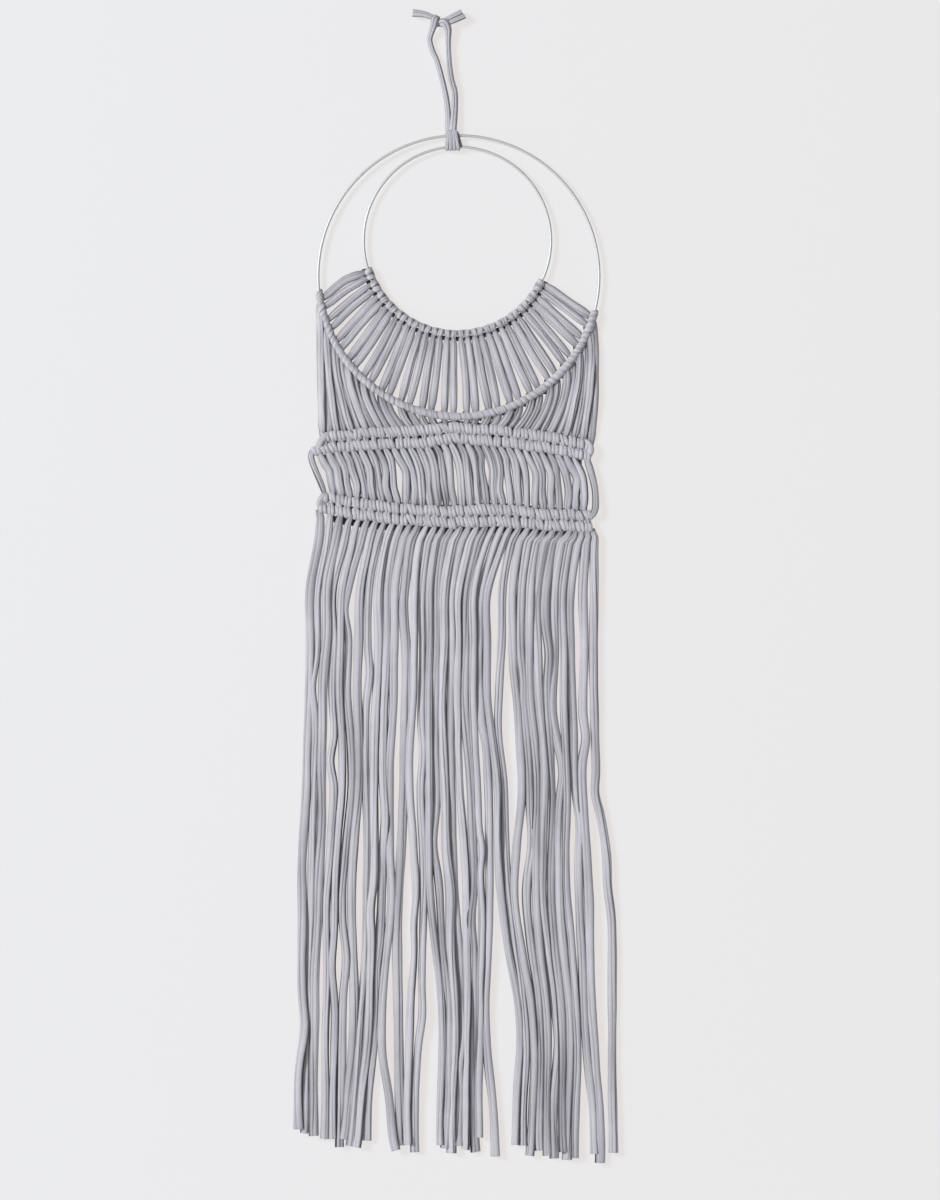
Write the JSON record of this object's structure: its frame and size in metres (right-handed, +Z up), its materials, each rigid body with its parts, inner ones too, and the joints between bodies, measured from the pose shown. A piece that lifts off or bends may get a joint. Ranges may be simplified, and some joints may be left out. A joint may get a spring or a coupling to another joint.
{
  "type": "macrame wall hanging",
  "caption": "Crescent-shaped macrame wall hanging: jersey cord knotted on nested wire rings, with hitched bands and a long hanging fringe, hung from a tied cord loop.",
  "frame": {"origin": "the hang point: the inside top of the hanging cord's loop, just under its knot, where a nail or hook carries the object", "axes": "+Z up, +X to the right as seen from the front, and the front faces -Y, so a wall behind the object is on its +Y side"},
  "size_m": [0.3435, 0.011, 1.2303],
  "materials": {
    "cord": "matte rolled jersey knit, light grey with a lavender cast",
    "ring": "satin nickel-plated wire"
  },
  "bodies": {
    "knot": {"hanging_knot": "cord", "hanging_tail_left": "cord", "hanging_tail_right": "cord"},
    "loop": {"loop_strand_left": "cord", "loop_strand_right": "cord"},
    "rings": {"ring_lashing": "cord", "outer_ring": "ring", "inner_ring": "ring", "inner_ring_knots": "cord", "outer_ring_hitches": "cord", "crescent_cords": "cord", "fan_cords_left": "cord", "fan_cords_right": "cord", "row_1_upper_hitches": "cord", "row_1_upper_holding_cord": "cord", "row_1_lower_hitches": "cord", "row_1_lower_holding_cord": "cord", "mid_cords_upper": "cord"},
    "lower_band": {"mid_cords_lower": "cord", "row_2_upper_hitches": "cord", "row_2_upper_holding_cord": "cord", "row_2_lower_hitches": "cord", "row_2_lower_holding_cord": "cord", "fringe_roots": "cord"},
    "fringe_left": {"fringe_cord_01": "cord", "fringe_cord_02": "cord", "fringe_cord_03": "cord", "fringe_cord_04": "cord", "fringe_cord_05": "cord", "fringe_cord_06": "cord", "fringe_cord_07": "cord", "fringe_cord_08": "cord", "fringe_cord_09": "cord", "fringe_cord_10": "cord"},
    "fringe_mid_left": {"fringe_cord_11": "cord", "fringe_cord_12": "cord", "fringe_cord_13": "cord", "fringe_cord_14": "cord"},
    "fringe_centre": {"fringe_cord_15": "cord", "fringe_cord_16": "cord", "fringe_cord_17": "cord", "fringe_cord_18": "cord", "fringe_cord_19": "cord", "fringe_cord_20": "cord", "fringe_cord_21": "cord", "fringe_cord_22": "cord"},
    "fringe_mid_right": {"fringe_cord_23": "cord", "fringe_cord_24": "cord", "fringe_cord_25": "cord", "fringe_cord_26": "cord", "fringe_cord_27": "cord", "fringe_cord_28": "cord", "fringe_cord_29": "cord", "fringe_cord_30": "cord", "fringe_cord_31": "cord"},
    "fringe_right": {"fringe_cord_32": "cord", "fringe_cord_33": "cord", "fringe_cord_34": "cord"}
  },
  "joints": [
    {"name": "loop_sway", "type": "hinge", "parent": "knot", "child": "loop", "pos_m": [0, 0, 0], "axis": [0, 1, 0], "range_deg": [-12, 12]},
    {"name": "ring_tilt", "type": "hinge", "parent": "loop", "child": "rings", "pos_m": [0.012, 0, -0.1063], "axis": [-1, 0, 0], "range_deg": [0, 20]},
    {"name": "band_fold", "type": "hinge", "parent": "rings", "child": "lower_band", "pos_m": [0.015, 0, -0.4772], "axis": [-1, 0, 0], "range_deg": [0, 20]},
    {"name": "fringe_left_lift", "type": "hinge", "parent": "lower_band", "child": "fringe_left", "pos_m": [-0.0908, 0, -0.5466], "axis": [-1, 0, 0], "range_deg": [0, 30]},
    {"name": "fringe_mid_left_lift", "type": "hinge", "parent": "lower_band", "child": "fringe_mid_left", "pos_m": [-0.0284, 0, -0.5466], "axis": [-1, 0, 0], "range_deg": [0, 30]},
    {"name": "fringe_centre_lift", "type": "hinge", "parent": "lower_band", "child": "fringe_centre", "pos_m": [0.0252, 0, -0.5466], "axis": [-1, 0, 0], "range_deg": [0, 30]},
    {"name": "fringe_mid_right_lift", "type": "hinge", "parent": "lower_band", "child": "fringe_mid_right", "pos_m": [0.101, 0, -0.5466], "axis": [-1, 0, 0], "range_deg": [0, 30]},
    {"name": "fringe_right_lift", "type": "hinge", "parent": "lower_band", "child": "fringe_right", "pos_m": [0.1546, 0, -0.5466], "axis": [-1, 0, 0], "range_deg": [0, 30]}
  ]
}
